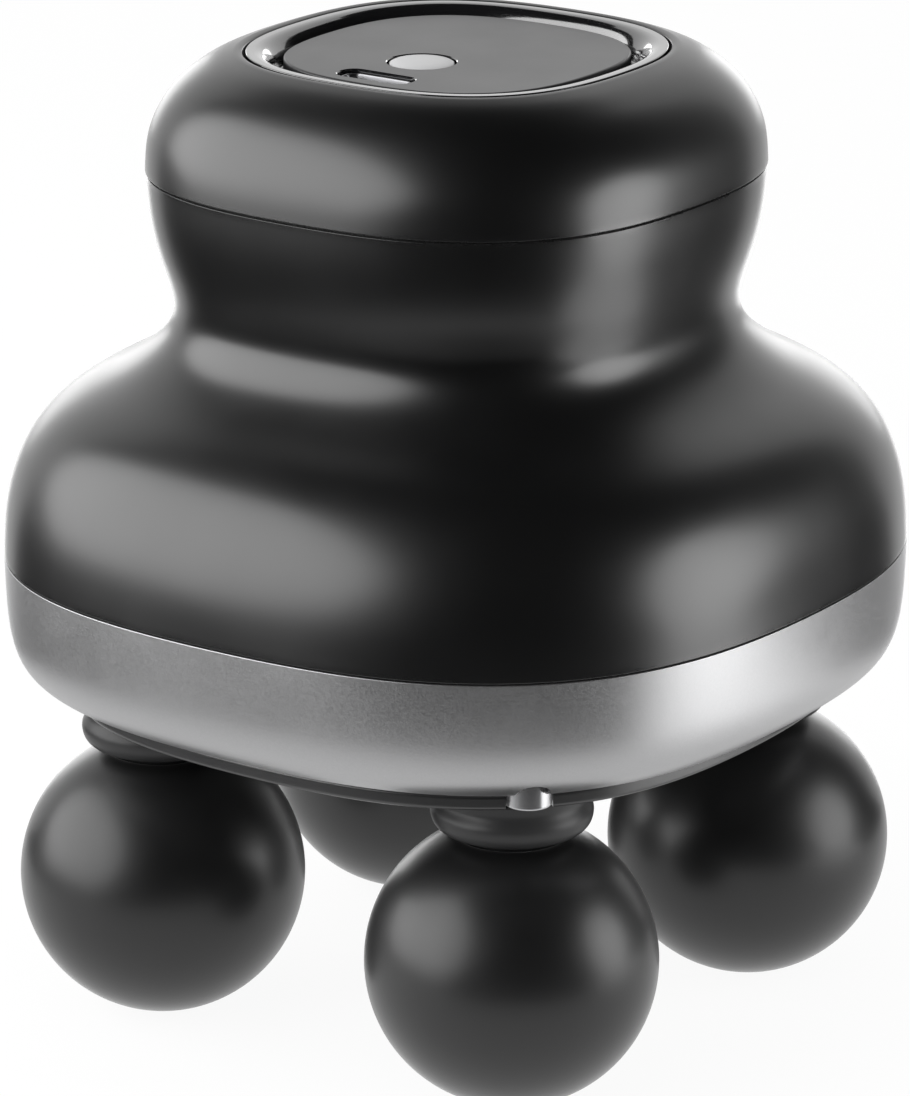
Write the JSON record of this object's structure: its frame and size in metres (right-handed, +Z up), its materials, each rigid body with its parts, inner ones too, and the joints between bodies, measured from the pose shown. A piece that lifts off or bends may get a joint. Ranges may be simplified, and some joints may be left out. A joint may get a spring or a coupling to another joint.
{
  "type": "percussion massager",
  "caption": "Palm-held percussion massager: rubber balls on plungers, moved by a wobble plate in a waisted rounded-square body with a recessed control panel.",
  "frame": {"origin": "on the vertical axis of the body, at the level of the balls' flat feet, with the plungers level", "axes": "+Z up through the body's axis, -Y towards the charging port and the power button, +X to the right seen from -Y; the balls stand on the X-Y diagonals"},
  "size_m": [0.0946, 0.0946, 0.1105],
  "materials": {
    "soft_touch_black": "satin",
    "silver_paint": "satin metallic paint on plastic",
    "gloss_black": "polished",
    "panel_grey": "satin",
    "button_grey": "satin",
    "ball_rubber": "matte",
    "boot_rubber": "soft sheen",
    "inner_plastic": "moulded",
    "bearing_plastic": "moulded",
    "steel": "plated",
    "brass": "machined",
    "board_green": "solder mask",
    "battery_foil": "foil pouch"
  },
  "bodies": {
    "housing": {"base_plate": "gloss_black", "base_band": "silver_paint", "grip_body": "soft_touch_black", "top_cap": "soft_touch_black", "bezel_dish": "gloss_black", "control_panel": "panel_grey", "switch_body": "inner_plastic", "circuit_board": "board_green", "port_shell": "steel", "port_tongue": "inner_plastic", "battery_cell": "battery_foil", "battery_tray": "inner_plastic", "motor_bracket": "inner_plastic", "motor_can": "steel", "motor_endcap": "inner_plastic", "pivot_post": "inner_plastic", "guide_bush_front": "brass", "guide_bush_right": "brass", "guide_bush_back": "brass", "guide_bush_left": "brass", "boot_front": "boot_rubber", "boot_right": "boot_rubber", "boot_back": "boot_rubber", "boot_left": "boot_rubber", "chassis_screw_east": "steel", "chassis_screw_north": "steel", "chassis_screw_west": "steel", "chassis_screw_south": "steel", "grip_screw_east": "steel", "grip_screw_north": "steel", "grip_screw_west": "steel", "grip_screw_south": "steel", "post_screw": "steel", "motor_screw_1": "steel", "motor_screw_2": "steel", "board_screw_1": "steel", "board_screw_2": "steel"},
    "crank": {"crank_hub": "brass", "motor_shaft": "steel"},
    "cross": {"gimbal_cross": "steel"},
    "swash": {"wobble_plate": "bearing_plastic"},
    "front_ball": {"plunger_front": "steel", "ball_insert_front": "brass", "ball_front": "ball_rubber"},
    "right_ball": {"plunger_right": "steel", "ball_insert_right": "brass", "ball_right": "ball_rubber"},
    "back_ball": {"plunger_back": "steel", "ball_insert_back": "brass", "ball_back": "ball_rubber"},
    "left_ball": {"plunger_left": "steel", "ball_insert_left": "brass", "ball_left": "ball_rubber"},
    "button": {"power_button": "button_grey", "switch_stem": "inner_plastic"}
  },
  "joints": [
    {"name": "crank_spin", "type": "hinge", "parent": "housing", "child": "crank", "pos_m": [0, 0, 0.0704], "axis": [0, 0, 1], "continuous": true},
    {"name": "front_slide", "type": "slide", "parent": "housing", "child": "front_ball", "axis": [0, 0, 1], "range_m": [-0.003, 0.003], "stiffness_N_per_m": 450, "deforming": ["boot_front"]},
    {"name": "back_slide", "type": "slide", "parent": "housing", "child": "back_ball", "axis": [0, 0, 1], "range_m": [-0.0031, 0.0031], "stiffness_N_per_m": 450, "deforming": ["boot_back"]},
    {"name": "right_slide", "type": "slide", "parent": "housing", "child": "right_ball", "axis": [0, 0, 1], "range_m": [-0.003, 0.003], "stiffness_N_per_m": 450, "deforming": ["boot_right"]},
    {"name": "left_slide", "type": "slide", "parent": "housing", "child": "left_ball", "axis": [0, 0, 1], "range_m": [-0.0031, 0.0031], "stiffness_N_per_m": 450, "deforming": ["boot_left"]},
    {"name": "tilt_front_back", "type": "hinge", "parent": "housing", "child": "cross", "pos_m": [0, 0, 0.055], "axis": [0.7071, 0.7071, 0], "range_deg": [-5.25, 5.25]},
    {"name": "tilt_left_right", "type": "hinge", "parent": "cross", "child": "swash", "pos_m": [0, 0, 0.055], "axis": [0.7071, -0.7071, 0], "range_deg": [-5.25, 5.25]},
    {"name": "button_press", "type": "slide", "parent": "housing", "child": "button", "axis": [0, 0, 1], "range_m": [-0.0005, 0], "stiffness_N_per_m": 500, "springref_m": 0.0005}
  ],
  "couplings": [
    {"joint": "back_slide", "follows": "front_slide", "ratio": -1},
    {"joint": "tilt_front_back", "follows": "front_slide", "rad_per_m": -29.326},
    {"joint": "left_slide", "follows": "right_slide", "ratio": -1},
    {"joint": "tilt_left_right", "follows": "right_slide", "rad_per_m": 29.326}
  ]
}
